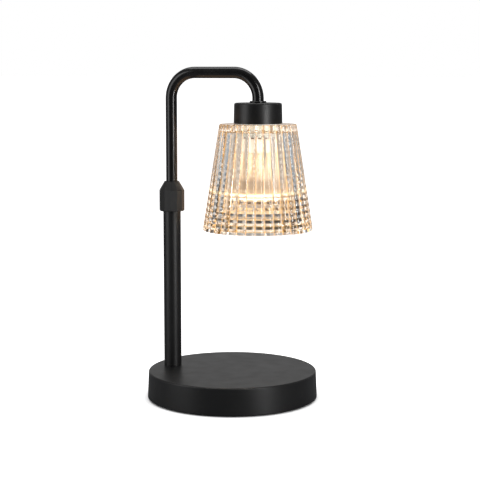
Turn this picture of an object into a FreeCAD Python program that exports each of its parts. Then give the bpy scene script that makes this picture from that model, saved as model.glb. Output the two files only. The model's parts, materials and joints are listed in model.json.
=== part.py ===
"""Candle warmer lamp: a weighted round base, a telescopic pole with a twelve-sided lock nut, a bent arm
that slides and swivels in it, and a reeded glass shade over a two-pin twist-lock reflector bulb. A candle jar
stands on the base under the shade, and the bulb's heat melts the wax.

Frame: millimetres, +Z up, origin on the table under the centre of the base, +X from the pole to the shade.
Each piece is a function that returns its solid or solids, in place, with the lamp at its middle height.
"""

import FreeCAD, Part
import math
import os
from FreeCAD import Vector

# ---------------------------------------------------------------- driving dimensions, millimetres

# Base: a drawn steel shell over an iron ballast, closed below by a plate on a foam pad.
base_d = 150.0             # shell across its lower edge
base_draft = 1.0           # how far the shell's side leans in over its height
base_h = 24.5              # table to the top face
shell_lift = 1.4           # table to the shell's lower edge
shell_wall = 1.2
shell_edge_r = 1.2         # rounding of the top edge, outside
shell_edge_inner_r = 0.6
shell_hole_gap = 0.1       # radial, pole stud in the shell and the ballast
pad_gap = 1.6              # foam pad's edge to the shell
pad_t = 2.0
pad_hole_gap = 0.6         # round the screw heads
plate_t = 1.2
plate_gap = 0.5            # round the plate, to the shell
ballast_gap = 2.8          # round the ballast, to the shell
ballast_t = 10.0
ballast_web = 4.0          # iron left above the pocket for the pole's nut
nut_pocket_d = 22.0
boss_d = 10.0              # bosses under the ballast that take the plate's screws
boss_count = 3
boss_circle_d = 84.0
plate_screw_d = 4.0
plate_screw_length = 9.0
plate_screw_room = 1.0     # hole left beyond the screw's end
plate_screw_head_d = 8.0
plate_screw_head_t = 1.4

# Cord inlet: a rubber grommet in the back of the shell, and the terminal block behind it.
grommet_bore_d = 6.0
grommet_neck_d = 9.0
grommet_flange_d = 11.5
grommet_length = 5.6
grommet_edge_r = 0.8
grommet_gap = 0.45         # over the plate
block_length = 16.0
block_width = 13.0
block_height = 9.0
block_lead = 16.0          # pole axis to the block's near end
block_angle = 62.0         # the way the block lies from the pole, in degrees
block_socket = 2.0         # depth that the flex enters
terminal_bore_d = 4.0
terminal_bore_wall = 4.0   # block left between the socket's mouth and the terminal bores
terminal_screw_d = 3.0
terminal_screw_length = 3.5
terminal_screw_sink = 0.4  # screws below the block's top
terminal_screw_inset = 3.2 # far row of screws to the block's far end
terminal_row_pitch = 6.0   # between the two rows of screws
terminal_pitch = 6.5       # between the two ways

# Pole: the fixed lower tube and what clamps it to the base.
pole_inset = 18.5          # pole axis to the base's edge
pole_d = 15.5
pole_wall = 1.2
pole_length = 145.5
stud_d = 10.0              # thread outside, of the pole's stud, the arm's end and their nuts
stud_bore_d = 6.0
hub_height = 12.0          # the stud's head, inside the pole
hub_edge = 0.8
stud_edge = 0.4
stud_below_nut = 1.0
washer_t = 1.0
foot_washer_d = 18.0
foot_nut_across = 16.0
foot_nut_t = 5.0
nut_corner_share = 0.6     # how far a hexagon nut's corners are turned down, over their height past the flats

# Lock: a threaded sleeve in the pole, a split clamp ring, and the nut that presses the ring on the arm tube.
sleeve_spigot = 13.5       # inside the pole
sleeve_head = 8.0          # above the pole
sleeve_thread_d = 15.7
seat_depth = 3.4           # cone in the sleeve's mouth, for the clamp ring
seat_width = 1.8
ring_neck = 2.0            # straight part of the clamp ring, between its two cones
ring_wall = 1.65
ring_lip = 0.4             # wall left at the thin end of each cone
ring_cone = 2.8            # length of the upper cone
ring_slot = 1.6
nut_across = 21.5          # lock nut, across its flats
nut_sides = 12
nut_body = 18.5
nut_cone = 7.9
nut_mouth_d = 12.6         # across the cone's top
nut_below_pole_top = 6.2   # how far the nut's skirt covers the pole
nut_skirt = 3.0            # plain counterbore below the thread
nut_skirt_gap = 0.5        # skirt to the pole
nut_neck_gap = 0.5         # nut's mouth to the arm tube
nut_edge = 0.5             # chamfer of the lower edge
nut_edge_rise = 0.8

# Arm: one bent tube that slides and swivels in the pole.
arm_d = 10.0
arm_wall = 1.0
bend_r = 22.0              # centreline
reach = 80.0               # pole axis to shade axis
leg_shown = 73.4           # straight tube above the lock nut, at rest
leg_hidden = 75.5          # tube below the top of the pole, at rest
arm_drop = 25.8            # arm axis to the top of the socket cap
arm_tail = 12.8            # threaded end of the tube, below the top of the cap
bush_height = 14.0         # glide bush on the tube's lower end
bush_floor = 2.5
bush_rib = 0.35            # the rib that holds the bush in the tube's groove
bush_rib_width = 1.0
bush_rib_rise = 4.5        # tube end to the middle of the rib
bush_lead = 0.8            # chamfer at both ends

# Socket cap and the lampholder in it.
collar_d = 14.4
collar_t = 1.5
collar_edge = 0.3
cap_d = 42.0               # across the rim
cap_top_d = 41.2           # across the top, before its rounding
cap_h = 17.8
cap_wall = 1.0
cap_edge_r = 1.5
cap_edge_inner_r = 0.9
cap_washer_d = 17.0
cap_nut_across = 14.0
cap_nut_t = 4.0
holder_d = 29.0            # lampholder's threaded skirt
holder_wall = 2.35
holder_roof = 8.0          # solid top that screws on the arm tube
holder_gap = 0.8           # cap nut to the lampholder
holder_h = 22.6
holder_edge_r = 2.0
insert_h = 14.4            # ceramic insert
insert_edge = 0.6
wire_pocket_x = 8.0
wire_pocket_y = 17.0
wire_pocket_depth = 5.0
insert_screw_d = 3.0
insert_screw_head_d = 5.2
insert_screw_head_t = 1.8
insert_screw_x = 8.6
insert_screw_reach = 5.0   # screw in the roof of the lampholder
insert_screw_room = 0.5    # hole left beyond the screw's end
contact_t = 0.6            # brass leaf
contact_width = 3.0
contact_reach = 1.5        # leaf's tail in the wire pocket
contact_slit = 0.3         # round the tail, in the ceramic

# Two-pin twist-lock bulb.
pin_circle_d = 10.0
pin_d = 2.5
pin_neck = 3.1             # bulb face to the underside of a pin's head
pin_head_d = 5.0
pin_head_t = 2.0
pin_gap = 0.35             # pin in its slot
pin_head_gap = 0.3         # pin's head in the chamber
pin_head_lift = 0.4        # under the head
pin_head_room = 0.15       # head to the contact
twist = 25.0               # turn from locked to free, degrees
bulb_d = 50.6
bulb_h = 51.5              # face to face, without pins
neck_d = 24.4
neck_h = 15.5
neck_taper = 0.4
neck_edge = 0.9
neck_step = 1.5            # the reflector's sleeve round the neck
rim_h = 4.6
rim_wall = 1.2
glass_t = 1.6              # bulb's reflector wall
bowl_rise = 0.42           # share of the bowl's height, and of its width, at the middle of its curve
bowl_spread = 0.74
lens_t = 3.4
capsule_d = 9.2
capsule_length = 17.0
capsule_wall = 0.7
filament_d = 1.6
filament_length = 6.0
filament_lead_d = 0.6

# Glass shade: a cone with convex reeds outside and prismatic rings inside.
shade_top_d = 66.8         # over the reeds
shade_mouth_d = 95.8       # over the reeds
shade_h = 91.7
shade_wall = 5.2           # reed crest to the foot of the rings
shade_roof = 7.0           # thickness of the flat top
shade_hole_gap = 0.4       # hole in the top, round the lampholder
reed_count = 36
reed_depth_share = 0.23    # depth of a reed's valley over the reed's own width
ring_count = 16
ring_depth = 1.4           # lowest ring
ring_depth_top = 0.08      # highest ring
ring_fade = 3              # power by which the rings get shallower as they rise
shade_lip_h = 2.2          # plain lip below the rings
shade_edge = 0.9           # chamfer of the top edge
gasket_t = 0.4             # between the cap's rim and the glass
gasket_inset = 0.4         # both gaskets, in from the piece that presses them
ring_gasket_t = 0.6        # between the glass and the shade ring
shade_ring_d = 36.0
shade_ring_h = 3.4
shade_ring_flange = 1.2    # left whole above the notches
shade_ring_notches = 12
shade_ring_notch_d = 2.4

# Flex inside the lamp.
flex_d = 4.8
flex_bend_r = 6.0

# Slots of the screws, as shares of the head's thickness.
slot_width = 0.6
slot_depth = 0.5

# Clearances.
press = 0.05               # radial, between pieces that are pressed or screwed together
sliding = 0.10             # radial, arm tube in the sleeve and glide bush in the pole
running = 0.05             # radial, arm tube in the glide bush, and lock threads
stop_gap = 0.5             # the flex leaves this at the bottom of the travel

# ---------------------------------------------------------------- places that follow from them

base_top_r = base_d / 2 - base_draft
pad_r = base_d / 2 - shell_wall - pad_gap
plate_z = pad_t
plate_top = plate_z + plate_t
shell_roof = base_h - shell_wall
ballast_r = base_top_r - shell_wall - ballast_gap
ballast_z = shell_roof - ballast_t
shell_lean = base_draft / (base_h - shell_lift)

washer_z = shell_roof - ballast_web - washer_t
foot_nut_z = washer_z - foot_nut_t
stud_end = foot_nut_z - stud_below_nut
hub_top = base_h + hub_height
block_axis_z = plate_top + block_height / 2

grommet_z = plate_top + grommet_flange_d / 2 + grommet_gap

pole_x = pole_inset - base_d / 2
pole_r = pole_d / 2
pole_bore_r = pole_r - pole_wall
pole_top = base_h + pole_length
arm_r = arm_d / 2
arm_bore_r = arm_r - arm_wall
flex_r = flex_d / 2
thread_r = stud_d / 2
thread_hole_r = thread_r + press
stud_hole_r = thread_r + shell_hole_gap
flex_hole_r = stud_bore_d / 2

nut_z = pole_top - nut_below_pole_top
nut_shoulder = nut_z + nut_body
nut_top = nut_shoulder + nut_cone
sleeve_top = pole_top + sleeve_head
sleeve_bore_r = arm_r + sliding
ring_bore_r = arm_r + sliding
ring_r = ring_bore_r + ring_wall
ring_lip_r = ring_bore_r + ring_lip
seat_z = sleeve_top - seat_depth
ring_z = seat_z + (ring_lip + press) * seat_depth / seat_width
ring_waist = seat_z + (ring_wall + press) * seat_depth / seat_width
ring_top = ring_waist + ring_neck + ring_cone

arm_z = nut_top + leg_shown + bend_r
arm_end = pole_top - leg_hidden
bush_z = arm_end - running - bush_floor
bush_top = bush_z + bush_height
shade_x = pole_x + reach

cap_top = arm_z - arm_drop
cap_rim = cap_top - cap_h
cap_roof = cap_top - cap_wall
tail_end = cap_top - arm_tail
cap_nut_z = cap_roof - washer_t - cap_nut_t
holder_top = cap_nut_z - holder_gap
holder_z = holder_top - holder_h
holder_roof_z = holder_top - holder_roof
insert_z = holder_roof_z - insert_h
insert_r = holder_d / 2 - holder_wall - press
wire_pocket_z = holder_roof_z - wire_pocket_depth

bulb_top = insert_z - press
bulb_z = bulb_top - bulb_h
neck_z = bulb_top - neck_h
head_z = bulb_top + pin_neck
head_top = head_z + pin_head_t
chamber_z = head_z - pin_head_lift
contact_z = head_top + pin_head_room
chamber_top = contact_z + contact_t + pin_head_lift
contact_y = (pin_circle_d + pin_head_d) / 2

shade_top = cap_rim - gasket_t
shade_z = shade_top - shade_h
shade_ceiling = shade_top - shade_roof
shade_slope = (shade_mouth_d - shade_top_d) / 2 / shade_h
shade_hole_r = holder_d / 2 + shade_hole_gap

drop_travel = bush_z - hub_top - stop_gap
rise_travel = pole_top - sleeve_spigot - stop_gap - bush_top

UP = Vector(0, 0, 1)


# ---------------------------------------------------------------- helpers

def at(x, z):
    """A point in the XZ plane."""
    return Vector(x, 0, z)


def turned(outline, x=0.0):
    """A solid of revolution about the upright line at x. The outline is (radius, z) points. A middle point of
    an arc is (radius, z, "arc")."""
    edges = []
    count = len(outline)
    k = 0
    while k < count:
        here, after = outline[k], outline[(k + 1) % count]
        if len(after) == 3:
            end = outline[(k + 2) % count]
            edges.append(Part.Arc(at(*here[:2]), at(*after[:2]), at(*end[:2])).toShape())
            k += 2
        else:
            edges.append(Part.makeLine(at(*here[:2]), at(*after[:2])))
            k += 1
    solid = Part.Face(Part.Wire(edges)).revolve(Vector(), UP, 360)
    solid.translate(Vector(x, 0, 0))
    return solid


def round_corner(corner_r, corner_z, size, side_lean=0.0):
    """The three points of an arc that rounds an outer top corner, from its side to its top."""
    diagonal = size * (1 - math.sqrt(0.5))
    return [
        (corner_r + side_lean * size, corner_z - size),
        (corner_r - diagonal, corner_z - diagonal, "arc"),
        (corner_r - size, corner_z),
    ]


def disc(r_out, r_in, z, height, x=0.0, y=0.0):
    """A flat ring, or a plain disc where r_in is 0."""
    solid = Part.makeCylinder(r_out, height, Vector(x, y, z))
    if r_in > 0:
        solid = solid.cut(Part.makeCylinder(r_in, height, Vector(x, y, z)))
    return solid


def polygon(sides, across, z, x=0.0, turn=0.0):
    """A closed regular outline, with a flat that faces -Y where turn is 0."""
    corner_r = across / 2 / math.cos(math.pi / sides)
    first = -math.pi / 2 + math.pi / sides + math.radians(turn)
    points = []
    for k in range(sides + 1):
        angle = first + 2 * math.pi * k / sides
        points.append(Vector(x + corner_r * math.cos(angle), corner_r * math.sin(angle), z))
    return Part.makePolygon(points)


def prism(sides, across, z, height, x=0.0):
    return Part.Face(polygon(sides, across, z, x)).extrude(Vector(0, 0, height))


def block(x_size, y_size, z_size, centre_x, centre_y, z):
    return Part.makeBox(x_size, y_size, z_size, Vector(centre_x - x_size / 2, centre_y - y_size / 2, z))


def on_circle(count, circle_d, first=0.0):
    """(x, y) of points evenly spaced on a circle, the first at that angle in degrees."""
    for k in range(count):
        angle = math.radians(first) + 2 * math.pi * k / count
        yield circle_d / 2 * math.cos(angle), circle_d / 2 * math.sin(angle)


def bent_bar(points, radius, turn_r=0.0):
    """A round bar along straight runs, joined at each corner by an arc of centreline radius turn_r."""
    def section(place, along):
        return Part.Face(Part.Wire(Part.makeCircle(radius, place, along)))

    pieces = []
    start = points[0]
    for k in range(1, len(points)):
        along = (points[k] - points[k - 1]).normalize()
        if k + 1 == len(points):
            pieces.append(section(start, along).extrude(points[k] - start))
            break
        onward = (points[k + 1] - points[k]).normalize()
        turn = along.getAngle(onward)
        inset = turn_r * math.tan(turn / 2)
        bend_start = points[k] - along * inset
        pieces.append(section(start, along).extrude(bend_start - start))
        axis = along.cross(onward).normalize()
        centre = bend_start + axis.cross(along) * turn_r
        pieces.append(section(bend_start, along).revolve(centre, axis, math.degrees(turn)))
        start = points[k] + onward * inset
    return pieces[0].multiFuse(pieces[1:]).removeSplitter()


def screw(x, y, head_z, head_d, head_t, shank_d, shank_length):
    """A pan-head screw that points up, with its head's flat face at head_z."""
    head = Part.makeCylinder(head_d / 2, head_t, Vector(x, y, head_z - head_t))
    slot = block(head_d, slot_width * head_t, slot_depth * head_t, x, y, head_z - head_t)
    shank = Part.makeCylinder(shank_d / 2, shank_length, Vector(x, y, head_z))
    return head.cut(slot).fuse(shank).removeSplitter()


# ---------------------------------------------------------------- base

def shell_side_r(z):
    """Outer radius of the shell's side at that height."""
    return base_d / 2 - shell_lean * (z - shell_lift)


def base_shell():
    outer = [(shell_side_r(shell_lift), shell_lift)]
    outer += round_corner(base_top_r, base_h, shell_edge_r, shell_lean)
    inner = round_corner(base_top_r - shell_wall, shell_roof, shell_edge_inner_r, shell_lean)
    foot = (shell_side_r(shell_lift) - shell_wall, shell_lift)
    shell = turned(outer + [(0, base_h), (0, shell_roof)] + inner[::-1] + [foot])
    shell = shell.cut(Part.makeCylinder(stud_hole_r, shell_wall, Vector(pole_x, 0, shell_roof)))
    return shell.cut(back_bar(grommet_neck_d / 2))


def back_bar(radius):
    """A level bar as long as the grommet, centred in the wall at the back of the shell."""
    middle_x = shell_wall / 2 - shell_side_r(grommet_z)
    return Part.makeCylinder(
        radius, grommet_length, Vector(middle_x - grommet_length / 2, 0, grommet_z), Vector(1, 0, 0))


def cord_grommet():
    """Two flanges and a neck that grip the hole's edge, with the cord's bore through them."""
    body = back_bar(grommet_flange_d / 2)
    body = body.makeFillet(grommet_edge_r, [e for e in body.Edges if e.Curve.TypeId == "Part::GeomCircle"])
    return body.cut(base_shell()).cut(back_bar(grommet_bore_d / 2))


def ballast():
    """An iron disc under the shell's roof, with a pocket round the pole's nut and three bosses."""
    pole_foot = Vector(pole_x, 0, ballast_z)
    iron = Part.makeCylinder(ballast_r, ballast_t, Vector(0, 0, ballast_z))
    iron = iron.cut(Part.makeCylinder(nut_pocket_d / 2, ballast_t - ballast_web, pole_foot))
    iron = iron.cut(Part.makeCylinder(stud_hole_r, ballast_t, pole_foot))
    screw_depth = plate_screw_length - plate_t + plate_screw_room
    for x, y in on_circle(boss_count, boss_circle_d):
        foot = Vector(x, y, plate_top)
        iron = iron.fuse(Part.makeCylinder(boss_d / 2, ballast_z - plate_top, foot))
        iron = iron.cut(Part.makeCylinder(plate_screw_d / 2 + press, screw_depth, foot))
    return iron.removeSplitter()


def bottom_plate():
    radius = shell_side_r(plate_top) - shell_wall - plate_gap
    plate = Part.makeCylinder(radius, plate_t, Vector(0, 0, plate_z))
    for x, y in on_circle(boss_count, boss_circle_d):
        plate = plate.cut(Part.makeCylinder(plate_screw_d / 2 + sliding, plate_t, Vector(x, y, plate_z)))
    return plate


def bottom_screws():
    return [
        screw(x, y, plate_z, plate_screw_head_d, plate_screw_head_t, plate_screw_d, plate_screw_length)
        for x, y in on_circle(boss_count, boss_circle_d)
    ]


def foot_pad():
    pad = Part.makeCylinder(pad_r, pad_t)
    for x, y in on_circle(boss_count, boss_circle_d):
        pad = pad.cut(Part.makeCylinder(plate_screw_head_d / 2 + pad_hole_gap, pad_t, Vector(x, y, 0)))
    return pad


# ---------------------------------------------------------------- wiring in the base

def along_block(distance, side=0.0):
    """A point at that distance from the pole axis on the block's line, and to its left by side."""
    angle = math.radians(block_angle)
    x = pole_x + distance * math.cos(angle) - side * math.sin(angle)
    y = distance * math.sin(angle) + side * math.cos(angle)
    return x, y


def terminal_block():
    """A two-way block on the plate. One bore takes the lamp's flex, and its far end takes the mains cord."""
    along = Vector(1, 0, 0)
    corner = Vector(block_lead, -block_width / 2, plate_top)
    socket_mouth = Vector(block_lead, 0, block_axis_z)
    body = Part.makeBox(block_length, block_width, block_height, corner)
    body = body.cut(Part.makeCylinder(flex_r + press, block_socket, socket_mouth, along))
    bore_length = block_length - terminal_bore_wall
    for side in (-terminal_pitch / 2, terminal_pitch / 2):
        mouth = Vector(block_lead + terminal_bore_wall, side, block_axis_z)
        body = body.cut(Part.makeCylinder(terminal_bore_d / 2, bore_length, mouth, along))
    for distance, side in terminal_places():
        well = Part.makeCylinder(
            terminal_screw_d / 2 + press, block_height / 2, Vector(distance, side, block_axis_z))
        body = body.cut(well)
    body.rotate(Vector(), UP, block_angle)
    body.translate(Vector(pole_x, 0, 0))
    return body


def terminal_places():
    """(distance from the pole axis, distance to the left) of the block's screws."""
    far_row = block_lead + block_length - terminal_screw_inset
    for distance in (far_row - terminal_row_pitch, far_row):
        for side in (-terminal_pitch / 2, terminal_pitch / 2):
            yield distance, side


def terminal_screws():
    foot_z = plate_top + block_height - terminal_screw_sink - terminal_screw_length
    made = []
    for distance, side in terminal_places():
        x, y = along_block(distance, side)
        made.append(Part.makeCylinder(terminal_screw_d / 2, terminal_screw_length, Vector(x, y, foot_z)))
    return made


def flex_in_base():
    """From the terminal block to the foot of the pole, and up through its stud."""
    x, y = along_block(block_lead + block_socket)
    route = [Vector(x, y, block_axis_z), Vector(pole_x, 0, block_axis_z), Vector(pole_x, 0, hub_top)]
    return bent_bar(route, flex_r, flex_bend_r)


# ---------------------------------------------------------------- pole

def lower_tube():
    return disc(pole_r, pole_bore_r, base_h, pole_length, pole_x)


def pole_stud():
    """A hub pressed into the tube's foot, and the hollow threaded stud that goes through the base."""
    hub_r = pole_bore_r - press
    return turned([
        (flex_hole_r, stud_end), (thread_r - stud_edge, stud_end), (thread_r, stud_end + stud_edge),
        (thread_r, base_h), (hub_r, base_h), (hub_r, hub_top - hub_edge), (hub_r - hub_edge, hub_top),
        (flex_hole_r, hub_top),
    ], pole_x)


def foot_washer():
    return disc(foot_washer_d / 2, thread_hole_r, washer_z, washer_t, pole_x)


def hex_nut(across, z, height, x):
    """A hexagon nut with its corners turned down at both ends."""
    corner_r = across / 2 / math.cos(math.pi / 6)
    ease = (corner_r - across / 2) * nut_corner_share
    envelope = turned([
        (thread_hole_r, z), (across / 2, z), (corner_r, z + ease), (corner_r, z + height - ease),
        (across / 2, z + height), (thread_hole_r, z + height),
    ], x)
    return prism(6, across, z, height, x).common(envelope)


def foot_nut():
    return hex_nut(foot_nut_across, foot_nut_z, foot_nut_t, pole_x)


def flex_in_pole():
    """The slack between the foot of the pole and the arm."""
    return Part.makeCylinder(flex_r, bush_z - hub_top, Vector(pole_x, 0, hub_top))


# ---------------------------------------------------------------- lock

def thread_sleeve():
    """Pressed into the top of the pole. Its spigot guides the arm tube, and its mouth is a cone."""
    spigot_r = pole_bore_r - press
    head_r = sleeve_thread_d / 2
    return turned([
        (sleeve_bore_r, pole_top - sleeve_spigot), (spigot_r, pole_top - sleeve_spigot), (spigot_r, pole_top),
        (head_r, pole_top), (head_r, sleeve_top), (sleeve_bore_r + seat_width, sleeve_top),
        (sleeve_bore_r, seat_z),
    ], pole_x)


def clamp_ring():
    """A split ring with a cone at each end. The nut drives it into the sleeve, and it grips the tube."""
    ring = turned([
        (ring_bore_r, ring_z), (ring_lip_r, ring_z), (ring_r, ring_waist),
        (ring_r, ring_waist + ring_neck), (ring_lip_r, ring_top), (ring_bore_r, ring_top),
    ], pole_x)
    return ring.cut(block(2 * ring_r, ring_slot, ring_top - ring_z, pole_x - ring_r, 0, ring_z))


def lock_nut():
    """Twelve flats for the fingers, on the body and up the cone. The thread and pressing cone are inside."""
    body = prism(nut_sides, nut_across, nut_z, nut_body, pole_x)
    outlines = [
        polygon(nut_sides, nut_across, nut_shoulder, pole_x),
        polygon(nut_sides, nut_mouth_d, nut_top, pole_x),
    ]
    body = body.fuse(Part.makeLoft(outlines, True, True)).removeSplitter()
    corner_r = nut_across / 2 / math.cos(math.pi / nut_sides)
    envelope = turned([
        (0, nut_z), (nut_across / 2 - nut_edge, nut_z), (corner_r, nut_z + nut_edge_rise),
        (corner_r, nut_top), (0, nut_top),
    ], pole_x)
    thread = sleeve_thread_d / 2 + running
    skirt = pole_r + nut_skirt_gap
    neck = arm_r + nut_neck_gap
    cone_z = ring_waist + ring_neck
    bore = turned([
        (0, nut_z), (skirt, nut_z), (skirt, nut_z + nut_skirt), (thread, nut_z + nut_skirt),
        (thread, cone_z), (ring_r + sliding, cone_z), (ring_lip_r + sliding, ring_top),
        (neck, ring_top + sliding), (neck, nut_top), (0, nut_top),
    ], pole_x)
    return body.common(envelope).cut(bore)


# ---------------------------------------------------------------- arm

def arm_route(low, end):
    """Corners of the arm's centreline, from that height in the pole to that height in the cap."""
    return [
        Vector(pole_x, 0, low), Vector(pole_x, 0, arm_z), Vector(shade_x, 0, arm_z), Vector(shade_x, 0, end),
    ]


def arm_tube():
    route = arm_route(arm_end, tail_end)
    tube = bent_bar(route, arm_r, bend_r).cut(bent_bar(route, arm_bore_r, bend_r))
    groove_width = bush_rib_width + 2 * sliding
    groove_z = arm_end + bush_rib_rise - groove_width / 2
    groove = disc(arm_r + 1, arm_r - bush_rib - running, groove_z, groove_width, pole_x)
    return tube.cut(groove)


def glide_bush():
    """A nylon cup snapped on the tube's end. It slides in the pole, and the tube turns in it."""
    outer = pole_bore_r - sliding
    bore = arm_r + running
    rib_z = arm_end + bush_rib_rise
    half = bush_rib_width / 2
    return turned([
        (flex_hole_r, bush_z), (outer - bush_lead, bush_z), (outer, bush_z + bush_lead),
        (outer, bush_top - bush_lead), (outer - bush_lead, bush_top), (bore, bush_top),
        (bore, rib_z + half), (arm_r - bush_rib, rib_z + half), (arm_r - bush_rib, rib_z - half),
        (bore, rib_z - half), (bore, bush_z + bush_floor), (flex_hole_r, bush_z + bush_floor),
    ], pole_x)


def arm_collar():
    """Brazed on the tube, above the cap."""
    r = collar_d / 2
    collar_top = cap_top + collar_t
    return turned([
        (thread_hole_r, cap_top), (r, cap_top), (r, collar_top - collar_edge), (r - collar_edge, collar_top),
        (thread_hole_r, collar_top),
    ], shade_x)


def flex_in_arm():
    """From the glide bush through the bent tube to the lampholder."""
    return bent_bar(arm_route(bush_z, wire_pocket_z + sliding), flex_r, bend_r)


# ---------------------------------------------------------------- socket cap and lampholder

def socket_cap():
    rim_r, top_r = cap_d / 2, cap_top_d / 2
    lean = (rim_r - top_r) / cap_h
    outer = [(rim_r, cap_rim)] + round_corner(top_r, cap_top, cap_edge_r, lean)
    inner = round_corner(top_r - cap_wall, cap_roof, cap_edge_inner_r, lean)
    hole = [(thread_hole_r, cap_top), (thread_hole_r, cap_roof)]
    return turned(outer + hole + inner[::-1] + [(rim_r - cap_wall, cap_rim)], shade_x)


def cap_washer():
    return disc(cap_washer_d / 2, thread_hole_r, cap_roof - washer_t, washer_t, shade_x)


def cap_nut():
    return hex_nut(cap_nut_across, cap_nut_z, cap_nut_t, shade_x)


def holder_shell():
    """The moulded lampholder: it screws on the arm tube, and its skirt is threaded for the shade ring."""
    outer = holder_d / 2
    inner = outer - holder_wall
    shell = turned(
        [(inner, holder_z), (outer, holder_z)] + round_corner(outer, holder_top, holder_edge_r)
        + [(thread_hole_r, holder_top), (thread_hole_r, holder_roof_z), (inner, holder_roof_z)], shade_x)
    for side in (-insert_screw_x, insert_screw_x):
        hole = Part.makeCylinder(
            insert_screw_d / 2 + press, insert_screw_reach + insert_screw_room,
            Vector(shade_x + side, 0, holder_roof_z))
        shell = shell.cut(hole)
    return shell


def pin_places(turn):
    """(x, y) of the two pins, turned from their locked places by that many degrees."""
    return [(shade_x + x, y) for x, y in on_circle(2, pin_circle_d, 90 + turn)]


def arc_slot(half_width, z, height):
    """The path of both pins from locked to free: a curved slot of that half width, with round ends."""
    centre = Vector(shade_x, 0, z)
    ends = pin_places(0) + pin_places(-twist)
    cuts = [Part.makeCylinder(half_width, height, Vector(x, y, z)) for x, y in ends]
    track = Part.makeCylinder(pin_circle_d / 2 + half_width, height, centre, UP, twist)
    track = track.cut(Part.makeCylinder(pin_circle_d / 2 - half_width, height, centre))
    for start in (90 - twist, 270 - twist):
        piece = track.copy()
        piece.rotate(centre, UP, start)
        cuts.append(piece)
    return cuts


def holder_insert():
    """The ceramic: two keyhole slots for the pins, a chamber above them, and a pocket for the wires."""
    body = turned([
        (0, insert_z), (insert_r - insert_edge, insert_z), (insert_r, insert_z + insert_edge),
        (insert_r, holder_roof_z), (0, holder_roof_z),
    ], shade_x)
    keyhole_r = pin_head_d / 2 + pin_head_gap
    cuts = arc_slot(pin_d / 2 + pin_gap, insert_z, chamber_z - insert_z)
    cuts += arc_slot(keyhole_r, chamber_z, chamber_top - chamber_z)
    cuts += [
        Part.makeCylinder(keyhole_r, chamber_z - insert_z, Vector(x, y, insert_z))
        for x, y in pin_places(-twist)
    ]
    cuts.append(block(wire_pocket_x, wire_pocket_y, wire_pocket_depth, shade_x, 0, wire_pocket_z))
    for side in (-1, 1):
        slit_x = contact_width + 2 * contact_slit
        slit_y = contact_t + 2 * contact_slit
        cuts.append(block(slit_x, slit_y, wire_pocket_z - chamber_z, shade_x, side * contact_y, chamber_z))
        screw_foot = Vector(shade_x + side * insert_screw_x, 0, insert_z)
        head_room = insert_screw_head_t + sliding
        cuts.append(Part.makeCylinder(insert_screw_d / 2 + sliding, insert_h, screw_foot))
        cuts.append(Part.makeCylinder(insert_screw_head_d / 2 + sliding, head_room, screw_foot))
    return body.cut(cuts)


def holder_contacts():
    """Two brass leaves that press on the pins' heads, each with a tail up to the wire pocket."""
    made = []
    pin_y = pin_circle_d / 2
    tail_h = wire_pocket_z + contact_reach - contact_z
    for side in (-1, 1):
        leaf = block(
            contact_width, contact_y - pin_y + contact_t, contact_t,
            shade_x, side * (pin_y + contact_y) / 2, contact_z)
        tail = block(contact_width, contact_t, tail_h, shade_x, side * contact_y, contact_z)
        made.append(leaf.fuse(tail).removeSplitter())
    return made


def insert_screws():
    shank_z = insert_z + insert_screw_head_t + sliding
    length = holder_roof_z + insert_screw_reach - shank_z
    return [
        screw(shade_x + side, 0, shank_z, insert_screw_head_d, insert_screw_head_t, insert_screw_d, length)
        for side in (-insert_screw_x, insert_screw_x)
    ]


# ---------------------------------------------------------------- shade

def shade_crest_r(z):
    """Radius over the reeds at that height."""
    return shade_top_d / 2 + shade_slope * (shade_top - z)


def reed_outline(z):
    """The shade's outer section: one arc for each reed, from valley to crest to valley."""
    crest = shade_crest_r(z)
    width = 2 * math.pi * crest / reed_count
    valley = crest - reed_depth_share * width
    half = math.pi / reed_count
    arcs = []
    for k in range(reed_count):
        middle = 2 * math.pi * k / reed_count
        ends = [
            Vector(shade_x + valley * math.cos(angle), valley * math.sin(angle), z)
            for angle in (middle - half, middle + half)
        ]
        top = Vector(shade_x + crest * math.cos(middle), crest * math.sin(middle), z)
        arcs.append(Part.Arc(ends[0], top, ends[1]).toShape())
    return Part.Wire(arcs)


def shade_bore():
    """The hollow of the shade: rings that get shallower as they rise, the flat ceiling, and the top hole."""
    lip_top = shade_z + shade_lip_h
    pitch = (shade_ceiling - lip_top) / ring_count
    outline = [(0, shade_z), (shade_crest_r(shade_z) - shade_wall, shade_z)]
    for k in range(ring_count):
        low = lip_top + k * pitch
        middle = low + pitch / 2
        share = 1 - k / (ring_count - 1)
        depth = ring_depth_top + (ring_depth - ring_depth_top) * share ** ring_fade
        outline.append((shade_crest_r(low) - shade_wall, low))
        outline.append((shade_crest_r(middle) - shade_wall - depth, middle))
    outline.append((shade_crest_r(shade_ceiling) - shade_wall, shade_ceiling))
    outline += [(shade_hole_r, shade_ceiling), (shade_hole_r, shade_top), (0, shade_top)]
    return turned(outline, shade_x)


def glass_shade():
    body = Part.makeLoft([reed_outline(shade_z), reed_outline(shade_top)], True, True)
    edge_r = shade_crest_r(shade_top) - shade_edge
    wide_r = shade_mouth_d / 2 + shade_edge
    envelope = turned([
        (0, shade_z), (wide_r, shade_z), (wide_r, shade_top - (wide_r - edge_r)), (edge_r, shade_top),
        (0, shade_top),
    ], shade_x)
    return body.common(envelope).cut(shade_bore())


def shade_gasket():
    return disc(cap_d / 2 - gasket_inset, shade_hole_r, shade_top, gasket_t, shade_x)


def ring_gasket():
    outer = shade_ring_d / 2 - gasket_inset
    return disc(outer, shade_hole_r, shade_ceiling - ring_gasket_t, ring_gasket_t, shade_x)


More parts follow.
